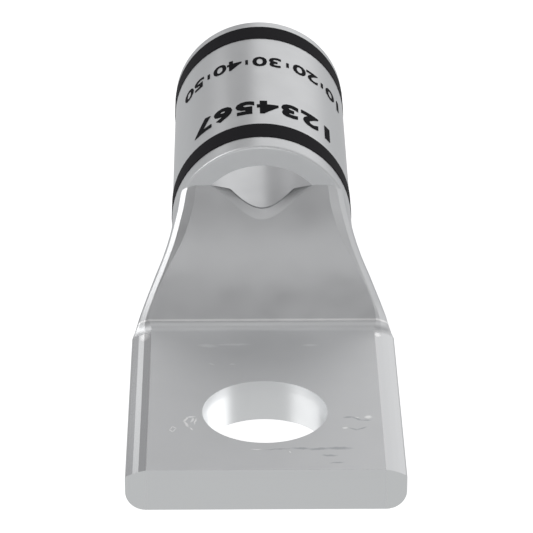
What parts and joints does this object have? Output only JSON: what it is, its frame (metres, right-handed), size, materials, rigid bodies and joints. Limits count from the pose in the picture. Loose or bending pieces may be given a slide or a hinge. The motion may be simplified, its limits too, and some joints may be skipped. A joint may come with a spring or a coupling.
{
  "type": "cable lug",
  "caption": "Tin-plated copper compression lug: a tube pressed into a flat tongue with a stud hole, an open throat window and black colour bands.",
  "frame": {"origin": "centre of the stud hole on the contact face, the underside of the tongue", "axes": "+Z along the stud hole out of the tongue's top, +Y along the barrel towards the wire entry, +X across the tongue"},
  "size_m": [0.021, 0.0588, 0.0149],
  "materials": {
    "tinned_copper": "satin",
    "black_print": "matte"
  },
  "bodies": {
    "root": {"lug_body": "tinned_copper", "band_near_throat": "black_print", "band_wire_end": "black_print"}
  },
  "joints": []
}
